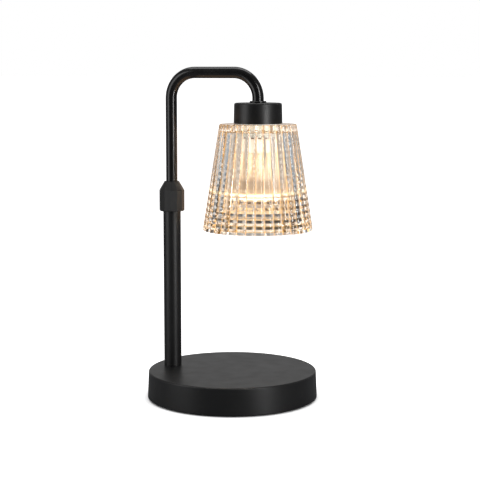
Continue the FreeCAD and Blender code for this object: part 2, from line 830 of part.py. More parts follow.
def shade_ring():
    """The threaded ring that clamps the glass, with notches round its edge for the fingers."""
    foot_z = shade_ceiling - ring_gasket_t - shade_ring_h
    ring = disc(shade_ring_d / 2, holder_d / 2 + press, foot_z, shade_ring_h, shade_x)
    notch_h = shade_ring_h - shade_ring_flange
    notches = [
        Part.makeCylinder(shade_ring_notch_d / 2, notch_h, Vector(shade_x + x, y, foot_z))
        for x, y in on_circle(shade_ring_notches, shade_ring_d)
    ]
    return ring.cut(notches)


# ---------------------------------------------------------------- bulb

def bulb_neck():
    """The ceramic base of the bulb."""
    outer = neck_d / 2
    foot_r = outer - glass_t
    edge_r = outer - neck_taper
    return turned([
        (0, neck_z), (foot_r, neck_z), (foot_r, neck_z + neck_step), (outer, neck_z + neck_step),
        (edge_r, bulb_top - neck_edge), (edge_r - neck_edge, bulb_top), (0, bulb_top),
    ], shade_x)


def bulb_pins():
    made = []
    for x, y in pin_places(0):
        pin = Part.makeCylinder(pin_d / 2, pin_neck, Vector(x, y, bulb_top))
        head = Part.makeCylinder(pin_head_d / 2, pin_head_t, Vector(x, y, head_z))
        made.append(pin.fuse(head))
    return made


def bulb_reflector():
    """A thin glass bowl from the neck to the rim, with a step inside the rim for the lens."""
    rim_r, back_r = bulb_d / 2, neck_d / 2
    back_z = neck_z + neck_step
    rim_z = bulb_z + rim_h
    lens_seat_r = rim_r - rim_wall
    throat_r = back_r - glass_t + press
    middle_z = rim_z + (back_z - rim_z) * bowl_rise
    middle_r = back_r + (rim_r - back_r) * bowl_spread
    return turned([
        (lens_seat_r, bulb_z), (rim_r, bulb_z), (rim_r, rim_z), (middle_r, middle_z, "arc"), (back_r, back_z),
        (throat_r, back_z), (throat_r, neck_z), (middle_r - glass_t, middle_z - glass_t / 2, "arc"),
        (rim_r - glass_t, rim_z), (lens_seat_r, rim_z),
    ], shade_x)


def bulb_lens():
    radius = bulb_d / 2 - rim_wall - press
    return Part.makeCylinder(radius, lens_t, Vector(shade_x, 0, bulb_z + rim_h - lens_t))


def bulb_capsule():
    """The quartz capsule: a closed tube with a round tip, hung from the neck."""
    radius = capsule_d / 2
    inner = radius - capsule_wall
    tip = neck_z - capsule_length
    diagonal = math.sqrt(0.5)
    return turned([
        (0, tip), (radius * diagonal, tip + radius * (1 - diagonal), "arc"), (radius, tip + radius),
        (radius, neck_z), (inner, neck_z), (inner, tip + radius),
        (inner * diagonal, tip + radius - inner * diagonal, "arc"), (0, tip + capsule_wall),
    ], shade_x)


def bulb_filament():
    """The coiled filament across the capsule, on two leads from the neck."""
    coil_z = neck_z - capsule_length / 2
    half = filament_length / 2
    coil_end = Vector(shade_x - half, 0, coil_z)
    coil = Part.makeCylinder(filament_d / 2, filament_length, coil_end, Vector(1, 0, 0))
    for side in (-1, 1):
        x = shade_x + side * (half - filament_lead_d / 2)
        coil = coil.fuse(Part.makeCylinder(filament_lead_d / 2, neck_z - coil_z, Vector(x, 0, coil_z)))
    return coil.removeSplitter()


# ---------------------------------------------------------------- export

PIECES = [
    base_shell, ballast, bottom_plate, bottom_screws, foot_pad, cord_grommet, terminal_block,
    terminal_screws, flex_in_base, lower_tube, pole_stud, foot_washer, foot_nut, flex_in_pole,
    thread_sleeve, clamp_ring, lock_nut, glide_bush, arm_tube, arm_collar, flex_in_arm, socket_cap,
    cap_washer, cap_nut, holder_shell, holder_insert, holder_contacts, insert_screws, glass_shade,
    shade_gasket, ring_gasket, shade_ring, bulb_neck, bulb_pins, bulb_reflector, bulb_lens,
    bulb_capsule, bulb_filament,
]

os.makedirs("parts", exist_ok=True)
for make in PIECES:
    made = make()
    shape = Part.makeCompound(made) if isinstance(made, list) else made
    shape.exportStep(f"parts/{make.__name__}.step")
    volume_cm3 = shape.Volume / 1000
    print(f"{make.__name__:18s} {len(shape.Solids)} solids, {volume_cm3:8.3f} cm3, valid {shape.isValid()}")
print(f"travel: down {drop_travel:.1f} mm, up {rise_travel:.1f} mm; height {arm_z + arm_r:.1f} mm")
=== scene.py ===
# %% [markdown]
# # A candle warmer lamp
#
# The lamp melts a candle with the heat of a small reflector bulb. Its mechanics come as solids from CAD:
# the weighted base, the telescopic pole with its lock nut, the bent arm, the socket cap and the
# lampholder. This lesson gives them their finishes. It models what has to bend light well, which is the
# pressed glass shade and the bulb's bowl, and what has to stretch, which is the flex in the pole. It also
# sets up a small studio.

# %% Load the frame
import bpy
import bmesh
import json
import math
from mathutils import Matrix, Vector


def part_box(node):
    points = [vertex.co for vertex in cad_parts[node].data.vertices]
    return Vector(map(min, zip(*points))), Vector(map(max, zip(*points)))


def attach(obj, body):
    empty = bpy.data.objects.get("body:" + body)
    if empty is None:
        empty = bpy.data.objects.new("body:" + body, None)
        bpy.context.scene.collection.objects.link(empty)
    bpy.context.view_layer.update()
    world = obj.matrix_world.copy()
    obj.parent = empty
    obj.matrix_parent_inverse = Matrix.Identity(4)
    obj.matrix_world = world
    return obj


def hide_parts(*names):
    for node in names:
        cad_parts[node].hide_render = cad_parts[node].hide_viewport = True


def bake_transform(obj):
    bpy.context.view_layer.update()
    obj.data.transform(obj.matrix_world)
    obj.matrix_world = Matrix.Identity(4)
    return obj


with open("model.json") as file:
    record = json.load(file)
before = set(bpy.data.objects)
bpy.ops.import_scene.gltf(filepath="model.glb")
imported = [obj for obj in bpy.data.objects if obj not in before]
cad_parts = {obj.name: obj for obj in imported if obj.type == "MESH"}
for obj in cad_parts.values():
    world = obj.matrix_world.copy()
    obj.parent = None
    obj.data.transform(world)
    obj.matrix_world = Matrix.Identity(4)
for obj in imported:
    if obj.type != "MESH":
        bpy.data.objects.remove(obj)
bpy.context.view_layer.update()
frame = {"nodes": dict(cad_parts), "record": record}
cad_nodes = frame["nodes"]
MM = 0.001

# %% [markdown]
# ## Camera
#
# A small lamp is best looked at from a little over a metre, level with its top and tipped slightly down,
# through a long lens that keeps its uprights nearly parallel. The camera stands a little to the right of
# the lamp's own front, so that the shade comes slightly forward of the pole. Its place is set first,
# because every later choice is judged through it.

# %% Camera
camera_turn = math.radians(18.5)
camera_pitch = math.radians(7.24)
camera_place = Vector((0.3790, -1.1114, 0.2890))
focal_length_mm = 101.25
sensor_width_mm = 36.0

camera_data = bpy.data.cameras.new("camera")
camera_data.lens = focal_length_mm
camera_data.sensor_width = sensor_width_mm
camera = bpy.data.objects.new("camera", camera_data)
camera.location = camera_place
camera.rotation_euler = (math.radians(90) - camera_pitch, 0, camera_turn)
bpy.context.scene.collection.objects.link(camera)
bpy.context.scene.camera = camera
bpy.context.scene.view_settings.view_transform = "Standard"
to_camera = Vector((math.sin(camera_turn), -math.cos(camera_turn), 0))
to_right = Vector((math.cos(camera_turn), math.sin(camera_turn), 0))
print("camera", tuple(round(value, 3) for value in camera.location))

# %% [markdown]
# ## Studio
#
# Black metal shows almost nothing of its own colour. What it shows is the room, so the room is dark behind
# the camera, a little brighter beside the lamp and brightest behind it. Clear glass shows the room as
# well, bent to the sides by its reeds. For glass the room is brighter, with a cool tint beside the lamp,
# and a narrow black flag stands at each side, which draws the dark bars near the edges of the shade. To
# the eye the background is plain white. A Light Path node tells these kinds of ray apart, so the white
# background doesn't light the lamp.

# %% Helpers for the studio
def math_node(tree, operation, first, second=None):
    """A Math node on sockets or plain numbers. Returns its output."""
    node = tree.nodes.new("ShaderNodeMath")
    node.operation = operation
    for index, value in enumerate((first, second)):
        if value is None:
            continue
        if isinstance(value, (int, float)):
            node.inputs[index].default_value = value
        else:
            tree.links.new(value, node.inputs[index])
    return node.outputs[0]


def spread(tree, value, low, high, to_low, to_high, smooth=False):
    """A Map Range node: value from low..high to to_low..to_high."""
    node = tree.nodes.new("ShaderNodeMapRange")
    node.interpolation_type = "SMOOTHSTEP" if smooth else "LINEAR"
    tree.links.new(value, node.inputs["Value"])
    node.inputs["From Min"].default_value = low
    node.inputs["From Max"].default_value = high
    node.inputs["To Min"].default_value = to_low
    node.inputs["To Max"].default_value = to_high
    return node.outputs["Result"]


def along(tree, vector, axis):
    """How far a vector socket reaches along an axis."""
    node = tree.nodes.new("ShaderNodeVectorMath")
    node.operation = "DOT_PRODUCT"
    tree.links.new(vector, node.inputs[0])
    node.inputs[1].default_value = axis
    return node.outputs["Value"]


def blended_colour(tree, value, dark, light):
    """A colour that goes from dark to light as a value socket goes from 0 to 1."""
    node = tree.nodes.new("ShaderNodeMix")
    node.data_type = "RGBA"
    tree.links.new(value, node.inputs["Factor"])
    node.inputs["A"].default_value = (*dark, 1)
    node.inputs["B"].default_value = (*light, 1)
    return node.outputs["Result"]


print("studio helpers ready")

# %% Levels of the room
white = (1.0, 1.0, 1.0)
room_behind = 0.50        # the studio behind the lamp, in a reflection
room_beside = 0.20
room_front = 0.05         # behind the camera
glass_behind = 0.74       # the same places through glass, which bends the view that far
glass_beside = 0.305
glass_above = 0.45        # the share of it that is left high up
room_fill = 0.34          # light that the room throws on everything
beside_tint = (0.74, 0.87, 1.0)

# Each pair says where one level turns into the next. The first four are cosines: 1 is behind the camera,
# and -1 is straight behind the lamp. The others are sines, of the height and of the angle to either side.
front_edge = (0.45, 0.85)
mirrored_edge = (-0.95, -0.60)
bent_edge = (-0.97, -0.55)
tinted_edge = (-0.97, -0.60)
raised_edge = (0.10, 0.50)
flag_near_edge = (0.63, 0.68)
flag_far_edge = (0.82, 0.87)
flag_level = 0.02
print("room levels in a reflection:", room_behind, room_beside, room_front)

# %% World
world = bpy.data.worlds.new("studio")
bpy.context.scene.world = world
world.use_nodes = True
tree = world.node_tree
tree.nodes.clear()
direction = tree.nodes.new("ShaderNodeTexCoord").outputs["Generated"]
direction_parts = tree.nodes.new("ShaderNodeSeparateXYZ")
tree.links.new(direction, direction_parts.inputs[0])
frontness = along(tree, direction, to_camera)
aside = math_node(tree, "ABSOLUTE", along(tree, direction, to_right))

front_dark = spread(tree, frontness, *front_edge, 1.0, room_front / room_beside, smooth=True)
beside = spread(tree, frontness, *mirrored_edge, room_behind, room_beside, smooth=True)
mirrored = math_node(tree, "MULTIPLY", front_dark, beside)
bent = spread(tree, frontness, *bent_edge, glass_behind, glass_beside, smooth=True)
raised = spread(tree, direction_parts.outputs["Z"], *raised_edge, 1.0, glass_above, smooth=True)
before_flag = spread(tree, aside, *flag_near_edge, 1.0, flag_level, smooth=True)
past_flag = spread(tree, aside, *flag_far_edge, flag_level, 1.0, smooth=True)
seen_through = math_node(tree, "MULTIPLY", front_dark, bent)
seen_through = math_node(tree, "MULTIPLY", seen_through, raised)
seen_through = math_node(tree, "MULTIPLY", seen_through, math_node(tree, "MAXIMUM", before_flag, past_flag))
print("world nodes so far:", len(tree.nodes))

# %% What each kind of ray sees of the room
rays = tree.nodes.new("ShaderNodeLightPath").outputs
level = math_node(tree, "MULTIPLY", rays["Is Glossy Ray"], mirrored)
level = math_node(tree, "ADD", level, math_node(tree, "MULTIPLY", rays["Is Transmission Ray"], seen_through))
level = math_node(tree, "ADD", level, math_node(tree, "MULTIPLY", rays["Is Diffuse Ray"], room_fill))
level = math_node(tree, "MAXIMUM", level, rays["Is Camera Ray"])
cool = spread(tree, frontness, *tinted_edge, 0.0, 1.0)
cool = math_node(tree, "MULTIPLY", rays["Is Transmission Ray"], cool)
background = tree.nodes.new("ShaderNodeBackground")
tree.links.new(blended_colour(tree, cool, white, beside_tint), background.inputs["Color"])
tree.links.new(level, background.inputs["Strength"])
tree.links.new(background.outputs[0], tree.nodes.new("ShaderNodeOutputWorld").inputs["Surface"])
print("world ready")

# %% [markdown]
# ### Lamps
#
# A black pole reads as round when a long bright line runs down each side of it. A tall softbox makes such
# a line, so a wide one stands at the left and a narrow, brighter one at the right, and a third hangs
# overhead. The lit bulb is a small point lamp. Light that its glow throws through the shade onto the metal
# takes very many samples to find its way, so two weak warm lamps stand for it: one beside the shade, which
# lights the arm's upright leg, and one above its roof, which lights the arm's underside.

# %% Softboxes
lamp_middle = Vector((0, 0, 0.15))   # the overhead softbox looks at it


def area_lamp(name, place, aim, width, tall, watts):
    """A rectangular lamp that faces along aim and that the camera doesn't see. Returns its object."""
    area = bpy.data.lights.new(name, "AREA")
    area.shape = "RECTANGLE"
    area.size = width
    area.size_y = tall
    area.energy = watts
    lamp = bpy.data.objects.new(name, area)
    lamp.location = place
    lamp.rotation_euler = Vector(aim).to_track_quat("-Z", "Y").to_euler()
    lamp.visible_camera = False
    bpy.context.scene.collection.objects.link(lamp)
    return lamp


def softbox(name, turn, width, radiance, distance=0.55, middle_z=0.31, tall=0.62, overhead=False):
    """A white lamp, level or overhead. turn counts in degrees from the camera's side to the right."""
    angle = math.radians(turn)
    flat = to_camera * math.cos(angle) + to_right * math.sin(angle)
    place = flat * distance + Vector((0, 0, middle_z))
    aim = lamp_middle - place if overhead else -flat
    area_lamp(name, place, aim, width, tall, radiance * math.pi * width * tall)


softbox("left_softbox", turn=-66, width=0.30, radiance=1.9)
softbox("right_softbox", turn=41, width=0.09, radiance=11.5)
softbox("top_softbox", turn=180, width=1.20, radiance=2.6, distance=0.30, middle_z=1.35, tall=0.60,
        overhead=True)
print("softboxes ready")

# %% Light of the bulb
bulb_warm = (1.0, 0.60, 0.28)
bulb_middle = (0.0235, 0, 0.200)
spill_warm = (1.0, 0.62, 0.34)


def warm_spill(name, place, aim, width, tall, watts):
    """A small warm lamp that glass doesn't show."""
    lamp = area_lamp(name, place, aim, width, tall, watts)
    lamp.data.color = spill_warm
    lamp.visible_transmission = False


glow_data = bpy.data.lights.new("bulb_glow", "POINT")
glow_data.color = bulb_warm
glow_data.energy = 0.022
glow_data.shadow_soft_size = 0.030
bulb_glow = bpy.data.objects.new("bulb_glow", glow_data)
bulb_glow.location = bulb_middle
bulb_glow.visible_camera = False
bulb_glow.visible_transmission = False
bpy.context.scene.collection.objects.link(bulb_glow)

warm_spill("shade_spill", place=(-0.034, 0.036, 0.195), aim=(-0.6, -0.8, 0),
           width=0.05, tall=0.08, watts=0.008)
warm_spill("roof_spill", place=(-0.0225, -0.010, 0.245), aim=(0, 0.1, 1),
           width=0.045, tall=0.03, watts=0.003)

# %% [markdown]
# ### Floor
#
# The floor is one white sheet. Its paint glows for the eye, so that it is as white as the background, but
# not right under the lamp, where Ambient Occlusion keeps the shadow. Metal mirrors it darker. Glass sees a
# painted shade on it close to the lamp, which gives the lowest rings their contrast, and pale paint further
# out, with a painted patch of light to the left. The sheet is clear from below, so that a low camera looks
# through it.

# %% Helpers for a material
def new_finish(name, colour, roughness, metallic=0.0, **sockets):
    """A material with one Principled shader, more of whose sockets are given by name, with _ for a space.
    Returns (material, tree, shader)."""
    material = bpy.data.materials.new(name)
    material.use_nodes = True
    shader = material.node_tree.nodes["Principled BSDF"]
    shader.inputs["Base Color"].default_value = (*colour, 1)
    shader.inputs["Roughness"].default_value = roughness
    shader.inputs["Metallic"].default_value = metallic
    for socket, value in sockets.items():
        shader.inputs[socket.replace("_", " ")].default_value = value
    return material, material.node_tree, shader


def tint(tree, shader, value, dark, light, socket="Base Color"):
    """Colours a shader's socket between dark and light by a value socket."""
    tree.links.new(blended_colour(tree, value, dark, light), shader.inputs[socket])


print("material helpers ready")

# %% Levels of the floor
floor_gray = 0.86
floor_in_gloss = 0.20     # the same paint as black metal mirrors it, so that the metal stays black
near_shade_gray = 0.04         # painted shade close to the lamp, as glass bends the floor into view
floor_dark = (0.0, 0.006, 0.018)
floor_lift = 0.95         # added for the eye
floor_through_glass = 0.30
left_through_glass = 0.5
shadow_reach = 14 * MM
shadow_edge = (0.30, 0.95)
shade_patch_edge = (0.45, 1.00)  # distances from the lamp's middle, in metres, where the painted shade ends
far_edge = (0.55, 1.10)   # where the glow for glass begins
left_edge = (0.20, 0.30)  # where the painted light at the left begins
floor_left = (-0.13, -0.03)  # and where along the camera's right it fades out
print("floor levels:", floor_gray, floor_in_gloss, near_shade_gray)

# %% Floor paint
floor_paint, tree, shader = new_finish(
    "floor_paint", white, 0.9, Specular_IOR_Level=0.0, Emission_Color=(1, 1, 1, 1))
rays = tree.nodes.new("ShaderNodeLightPath").outputs
place = tree.nodes.new("ShaderNodeTexCoord").outputs["Object"]
from_lamp = tree.nodes.new("ShaderNodeVectorMath")
from_lamp.operation = "LENGTH"
tree.links.new(place, from_lamp.inputs[0])
distance = from_lamp.outputs["Value"]

# Painted shade: glass sees the floor dark close to the lamp. A patch to the left is painted light instead,
# pale and glowing.
left_light_patch = spread(tree, along(tree, place, to_right), *floor_left, 1.0, 0.0)
left_light_patch = math_node(tree, "MULTIPLY", left_light_patch, spread(tree, distance, *left_edge, 0.0, 1.0))
gray = spread(tree, distance, *shade_patch_edge, near_shade_gray, floor_gray, smooth=True)
gray = math_node(tree, "MAXIMUM", gray, math_node(tree, "MULTIPLY", left_light_patch, floor_gray))
not_glass = math_node(tree, "SUBTRACT", 1.0, rays["Is Transmission Ray"])
gray = math_node(tree, "MAXIMUM", gray, math_node(tree, "MULTIPLY", not_glass, floor_gray))
gray = math_node(tree, "MINIMUM", gray, spread(tree, rays["Is Glossy Ray"], 0, 1, 1.0, floor_in_gloss))
tint(tree, shader, gray, floor_dark, white)

under = tree.nodes.new("ShaderNodeAmbientOcclusion")
under.inputs["Distance"].default_value = shadow_reach
open_floor = spread(tree, under.outputs["AO"], *shadow_edge, 0.0, floor_lift)
seen = math_node(tree, "MULTIPLY", rays["Is Camera Ray"], open_floor)
far = spread(tree, distance, *far_edge, 0.0, floor_through_glass)
far = math_node(tree, "MAXIMUM", far, math_node(tree, "MULTIPLY", left_light_patch, left_through_glass))
through = math_node(tree, "MULTIPLY", rays["Is Transmission Ray"], far)
tree.links.new(math_node(tree, "ADD", seen, through), shader.inputs["Emission Strength"])
print("floor paint nodes:", len(tree.nodes))

# %% Floor
floor_size = 80
floor_drop = 0.2 * MM

one_sided = tree.nodes.new("ShaderNodeMixShader")
tree.links.new(tree.nodes.new("ShaderNodeNewGeometry").outputs["Backfacing"], one_sided.inputs["Fac"])
tree.links.new(shader.outputs["BSDF"], one_sided.inputs[1])
tree.links.new(tree.nodes.new("ShaderNodeBsdfTransparent").outputs["BSDF"], one_sided.inputs[2])
tree.links.new(one_sided.outputs["Shader"], tree.nodes["Material Output"].inputs["Surface"])

bpy.ops.object.select_all(action="DESELECT")
bpy.ops.mesh.primitive_plane_add(size=floor_size, location=(0, 0, -floor_drop))
floor = bpy.context.object
floor.name = "studio_floor"
floor.data.materials.append(floor_paint)
print("floor ready")

# %% [markdown]
# ## Finishes
#
# Every finish is built from nodes on Object coordinates, so it sticks to its piece and needs no
# unwrapping. The helpers make the three things that most of them need: a noise, a bump, and a gloss that
# changes with the noise.

# %% Helpers for finishes
noise_range = (0.3, 0.7)  # where most of a noise lies


def noise(tree, size_mm, detail=2.0, stretch=(1, 1, 1)):
    """Noise on Object coordinates whose features are about size_mm across. Returns its value socket."""
    place = tree.nodes.new("ShaderNodeTexCoord")
    mapping = tree.nodes.new("ShaderNodeMapping")
    mapping.inputs["Scale"].default_value = stretch
    texture = tree.nodes.new("ShaderNodeTexNoise")
    texture.inputs["Scale"].default_value = 1.0 / (size_mm * MM)
    texture.inputs["Detail"].default_value = detail
    tree.links.new(place.outputs["Object"], mapping.inputs["Vector"])
    tree.links.new(mapping.outputs["Vector"], texture.inputs["Vector"])
    return texture.outputs["Fac"]


def bump(tree, shader, height, depth_mm):
    """Bump from a height socket of 0..1, depth_mm deep."""
    node = tree.nodes.new("ShaderNodeBump")
    node.inputs["Distance"].default_value = depth_mm * MM
    tree.links.new(height, node.inputs["Height"])
    tree.links.new(node.outputs["Normal"], shader.inputs["Normal"])


def patchy(tree, shader, pattern, smooth, rough):
    """Roughness that changes between smooth and rough with a noise."""
    tree.links.new(spread(tree, pattern, *noise_range, smooth, rough), shader.inputs["Roughness"])


def grained(name, colour, roughness, grain_mm, detail, depth_mm, **sockets):
    """A plain finish with a fine grain. Returns its material."""
    material, tree, shader = new_finish(name, colour, roughness, **sockets)
    bump(tree, shader, noise(tree, grain_mm, detail), depth_mm)
    return material


print("finish helpers ready")

# %% [markdown]
# ### Black metal, nylon and rubber
#
# The tubes, the cap and the base are powder coated. Powder coat is a smooth plastic skin with a faint
# orange peel, so the finish is a dark dielectric with a slow bump and a little change of gloss from place
# to place. The arm's coat is glossy, and that of the lower tube, the base and the cap is satin. The lock
# nut is moulded nylon with a finer, duller grain.

# %% Black metal, nylon and rubber
coat_black = (0.0035, 0.0035, 0.0037)
plate_black = (0.02, 0.02, 0.02)
coat_patch_mm = 14


def powder_coat(name, colour, smooth, rough, peel_mm, depth_mm, specular):
    """A coat whose gloss changes in patches, with orange peel. Returns its material."""
    material, tree, shader = new_finish(name, colour, smooth, Specular_IOR_Level=specular)
    patchy(tree, shader, noise(tree, coat_patch_mm, 3), smooth, rough)
    bump(tree, shader, noise(tree, peel_mm, 3), depth_mm)
    return material


black_paint = powder_coat("black_paint", coat_black, 0.17, 0.23, peel_mm=2.2, depth_mm=0.003, specular=0.5)
satin_paint = powder_coat("satin_paint", coat_black, 0.38, 0.44, peel_mm=0.9, depth_mm=0.007, specular=0.5)
plate_paint = powder_coat("plate_paint", plate_black, 0.45, 0.55, peel_mm=1.4, depth_mm=0.01, specular=0.4)

black_nylon = grained("black_nylon", (0.012, 0.012, 0.012), 0.40, grain_mm=0.35, detail=4, depth_mm=0.02)
foot_foam = grained("foot_foam", (0.02, 0.02, 0.021), 0.85, grain_mm=0.5, detail=3, depth_mm=0.08,
                    Specular_IOR_Level=0.2)
black_rubber = grained("black_rubber", (0.014, 0.014, 0.014), 0.55, grain_mm=0.8, detail=3, depth_mm=0.01,
                       Specular_IOR_Level=0.35)
flex_jacket = grained("flex_jacket", (0.016, 0.016, 0.016), 0.45, grain_mm=1.2, detail=2, depth_mm=0.01)
print("black finishes ready")

# %% [markdown]
# ### Bright metal, ceramic and plastics inside
#
# Little of these shows, but each is what the piece would be made of: zinc-plated steel with a drawn grain,
# cast iron with a rough skin, brass leaves, a matte ceramic body, and pale plastics that light enters a
# little.

# %% Bright metal and ceramic inside
zinc_steel, tree, shader = new_finish("zinc_steel", (0.56, 0.57, 0.58), 0.3, metallic=1.0)
patchy(tree, shader, noise(tree, 0.9, 4, stretch=(1, 1, 0.1)), 0.22, 0.42)
brass, tree, shader = new_finish("brass", (0.73, 0.55, 0.27), 0.28, metallic=1.0)
patchy(tree, shader, noise(tree, 3, 3), 0.2, 0.38)
pin_metal, tree, shader = new_finish("pin_metal", (0.66, 0.65, 0.63), 0.22, metallic=1.0)
patchy(tree, shader, noise(tree, 1, 3), 0.16, 0.3)
iron, tree, shader = new_finish("iron", (0.10, 0.098, 0.095), 0.6, metallic=0.7)
skin = noise(tree, 2.2, 6)
tint(tree, shader, skin, (0.07, 0.068, 0.065), (0.13, 0.127, 0.122))
bump(tree, shader, skin, 0.15)
tungsten, tree, shader = new_finish("tungsten", (0.5, 0.47, 0.43), 0.4, metallic=1.0,
                                    Emission_Color=(1.0, 0.72, 0.40, 1), Emission_Strength=12.0)
bump(tree, shader, noise(tree, 0.3, 2, stretch=(1, 0.1, 0.1)), 0.05)
ceramic_pale = (0.80, 0.77, 0.71)
ceramic, tree, shader = new_finish("ceramic", ceramic_pale, 0.5)
tint(tree, shader, noise(tree, 1.5, 4), (0.76, 0.73, 0.66), (0.84, 0.81, 0.76))
bump(tree, shader, noise(tree, 0.6, 3), 0.02)
print("inner metals and ceramic ready")

# %% Plastics inside
terminal_nylon = grained("terminal_nylon", (0.80, 0.79, 0.75), 0.4, grain_mm=0.8, detail=3, depth_mm=0.01,
                         Subsurface_Weight=0.1)
natural_nylon = grained("natural_nylon", (0.74, 0.72, 0.66), 0.42, grain_mm=0.7, detail=3, depth_mm=0.01,
                        Subsurface_Weight=0.1)
silicone = grained("silicone", (0.72, 0.72, 0.70), 0.5, grain_mm=0.9, detail=3, depth_mm=0.01,
                   Subsurface_Weight=0.2)
holder_resin, tree, shader = new_finish("holder_resin", (0.72, 0.69, 0.62), 0.35, Subsurface_Weight=0.1)
patchy(tree, shader, noise(tree, 6, 3), 0.3, 0.42)
print("inner plastics ready")

# %% [markdown]
# ### The shade's glass
#
# The shade is clear pressed glass: fully transmissive, with an index of 1.52. A plunger and a mould leave
# very fine drawn lines along the reeds, which break up what is seen through them, so its bump is stretched
# upwards. Pressed glass also catches the bulb's light inside itself and leads it to its edges. Such light
# is slow to render, so the glass glows with painted light: faintly in its wall, more in its roof and foot,
# and most in thin lines along the valleys between the reeds. The rings inside show the bulb's warm light as
# painted light: their colour turns amber where they look down and in the lowest rings, and a narrow band
# of them glows at the height of the bulb's rim.

# %% Helpers for glass
glass_index = 1.52
reflector_low, reflector_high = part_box("bulb_reflector")
lens_low, lens_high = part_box("bulb_lens")
shade_low, shade_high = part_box("glass_shade")
lamp_axis_x = (lens_low.x + lens_high.x) / 2


def height_share(tree, low, high, to_low, to_high):
    """A value that goes from to_low at height low to to_high at height high."""
    place = tree.nodes.new("ShaderNodeTexCoord")
    parts = tree.nodes.new("ShaderNodeSeparateXYZ")
    tree.links.new(place.outputs["Object"], parts.inputs[0])
    return spread(tree, parts.outputs["Z"], low, high, to_low, to_high)


def clear_glass(name, colour, wave_mm, wave_depth_mm, stretch=(1, 1, 1)):
    """Clear glass with slow waves that its mould left. Returns (material, tree, shader)."""
    material, tree, shader = new_finish(name, colour, 0.0, IOR=glass_index, Transmission_Weight=1.0)
    bump(tree, shader, noise(tree, wave_mm, 2, stretch), wave_depth_mm)
    return material, tree, shader


print("bulb axis at x =", round(lamp_axis_x, 4))

# %% Glass of the outside
reeds = 36                # all round
shade_clear = (0.98, 0.95, 0.905)
roof_zone = (shade_high.z - 10 * MM, shade_high.z)
foot_zone = (shade_high.z - 70 * MM, shade_high.z - 35 * MM)
valley_zone = (-0.98, -0.82)  # cosines across a reed: 1 is its crest, and -1 is the valley
wall_glow = 0.004
roof_glow = 0.045
foot_glow = 0.010
valley_glow = 0.44
speckle_mm = 1.3
speckle_range = (0.35, 0.65)

shade_glass, tree, shader = clear_glass("shade_glass", shade_clear, 1.0, 0.018, stretch=(1, 1, 0.04))
shader.inputs["Emission Color"].default_value = (1.0, 0.50, 0.12, 1)
around = tree.nodes.new("ShaderNodeMapping")
around.inputs["Location"].default_value = (-lamp_axis_x, 0, 0)
tree.links.new(tree.nodes.new("ShaderNodeTexCoord").outputs["Object"], around.inputs["Vector"])
flat = tree.nodes.new("ShaderNodeSeparateXYZ")
tree.links.new(around.outputs["Vector"], flat.inputs[0])
turn = math_node(tree, "ARCTAN2", flat.outputs["Y"], flat.outputs["X"])
crest = math_node(tree, "COSINE", math_node(tree, "MULTIPLY", turn, reeds))

caught = height_share(tree, *roof_zone, wall_glow, roof_glow)
caught = math_node(tree, "ADD", caught, height_share(tree, *foot_zone, foot_glow, 0.0))
valleys = spread(tree, crest, *valley_zone, valley_glow, 0.0, smooth=True)
caught = math_node(tree, "ADD", caught, valleys)
speckle = spread(tree, noise(tree, speckle_mm, 2, stretch=(1, 1, 0.5)), *speckle_range, 0.3, 1.7)
tree.links.new(math_node(tree, "MULTIPLY", caught, speckle), shader.inputs["Emission Strength"])
print("shade glass nodes:", len(tree.nodes))

# %% Glass of the rings
ring_slope = (-0.18, -0.34)   # how far a face looks down, as its normal's z, from clear to fully painted with warm light
ring_clear = (0.985, 0.975, 0.955)
ring_warm_light = (0.86, 0.56, 0.27)
low_rings = (shade_high.z - 60 * MM, shade_high.z - 45 * MM)
low_warm_light = 0.28
slope_glow = 0.10
rim_z = reflector_low.z + 4.3 * MM
rim_inner = 0.8 * MM
rim_outer = 2.0 * MM
rim_glow = 0.35

ringed_glass, tree, shader = clear_glass("ringed_glass", shade_clear, 1.8, 0.010, stretch=(1, 1, 0.2))
shader.inputs["Emission Color"].default_value = (1.0, 0.70, 0.34, 1)
facing = tree.nodes.new("ShaderNodeSeparateXYZ")
tree.links.new(tree.nodes.new("ShaderNodeNewGeometry").outputs["Normal"], facing.inputs[0])
downward = spread(tree, facing.outputs["Z"], *ring_slope, 0.0, 1.0)
# Painted light: the colour turns warm where a ring face looks down, and in the lowest rings.
warm_light_share = math_node(tree, "MAXIMUM", downward, height_share(tree, *low_rings, low_warm_light, 0.0))
tint(tree, shader, warm_light_share, ring_clear, ring_warm_light)
below_rim = height_share(tree, rim_z - rim_outer, rim_z - rim_inner, 0.0, rim_glow)
above_rim = height_share(tree, rim_z + rim_inner, rim_z + rim_outer, 1.0, 0.0)
lit_ring = math_node(tree, "MULTIPLY", below_rim, above_rim)
slopes = spread(tree, facing.outputs["Z"], *ring_slope, 0.0, slope_glow)
tree.links.new(math_node(tree, "ADD", lit_ring, slopes), shader.inputs["Emission Strength"])
print("ringed glass nodes:", len(tree.nodes))

# %% [markdown]
# ### The lit bulb
#
# The bulb's mirror is a thin coating on glass that throws light forward and lets some warm light out at
# the back. So its material is half transmissive, and its upper part glows in spots about as large as its
# facets. Its rim glows all round. The capsule and the lens glow as a whole. The ceramic neck glows with
# painted light from the bulb, and it has a painted brown shade where it goes into the lampholder.

# %% Glass, capsule and neck of the bulb
quartz = clear_glass("quartz", (0.99, 0.99, 0.99), 4.0, 0.01)[0]
bulb_glass, tree, shader = new_finish(
    "bulb_glass", (0.95, 0.93, 0.88), 0.25, IOR=glass_index, Transmission_Weight=0.6,
    Emission_Color=(1.0, 0.86, 0.62, 1), Emission_Strength=0.5)
bump(tree, shader, noise(tree, 1.2, 2), 0.05)
bulb_core, tree, shader = new_finish(
    "bulb_core", (0.95, 0.92, 0.86), 0.3, Emission_Color=(1.0, 0.88, 0.68, 1), Emission_Strength=4.5)
bump(tree, shader, noise(tree, 1.0, 2), 0.02)

